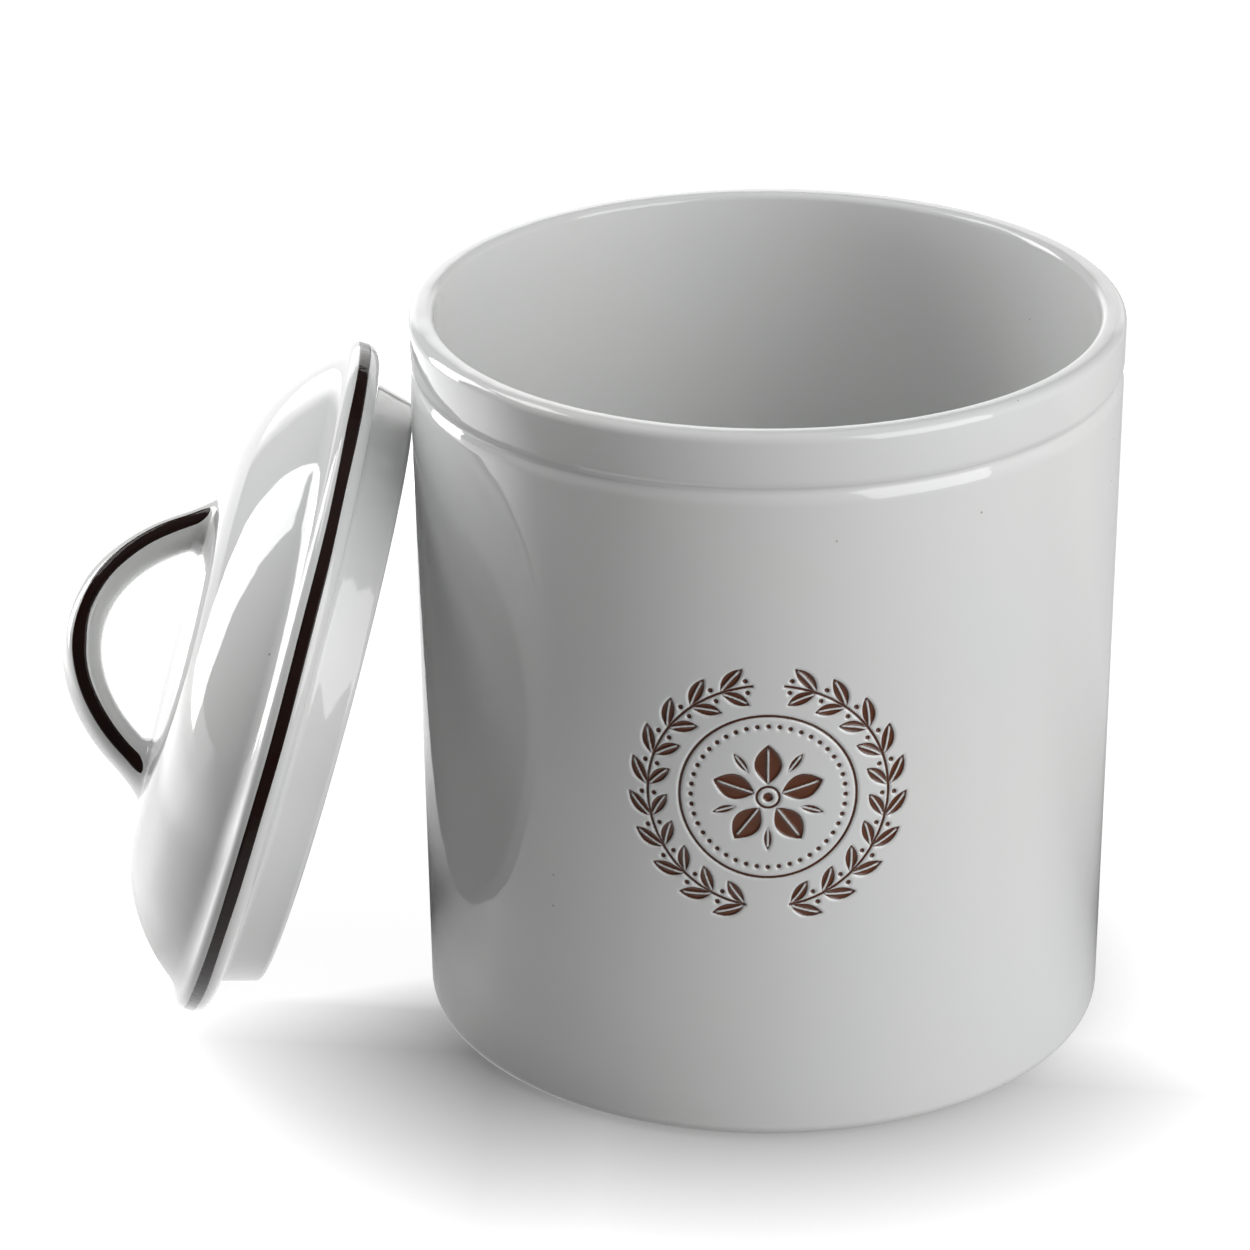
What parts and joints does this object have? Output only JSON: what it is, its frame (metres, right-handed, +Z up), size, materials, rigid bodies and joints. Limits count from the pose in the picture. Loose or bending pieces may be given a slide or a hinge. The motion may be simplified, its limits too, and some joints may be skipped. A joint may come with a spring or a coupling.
{
  "type": "potato storage bin",
  "caption": "Straight round stoneware bin with a rim band, and its domed lid with plug collar and strap handle leaning beside it, for keeping potatoes.",
  "frame": {"origin": "centre of the bin's foot ring, on the plane that the bin stands on", "axes": "+Z up along the bin's axis; the lid leans on the bin's -X side, and the pictured front faces -Y"},
  "size_m": [0.3328, 0.2225, 0.233],
  "materials": {
    "white_glaze": "glossy white glaze",
    "brown_glaze": "painted dark brown under gloss",
    "bare_clay": "matt unglazed stoneware"
  },
  "bodies": {
    "bin": {"bin_body": "white_glaze", "bin_foot_ring": "bare_clay"},
    "lid": {"lid_dome": "white_glaze", "lid_collar": "white_glaze", "lid_handle": "white_glaze", "edge_line": "brown_glaze", "handle_line_front": "brown_glaze", "handle_line_back": "brown_glaze"}
  },
  "joints": [
    {"name": "lid_lift", "type": "slide", "parent": "bin", "child": "lid", "axis": [-0.9573, -0.0318, 0.2874], "range_m": [0, 0.12]}
  ]
}
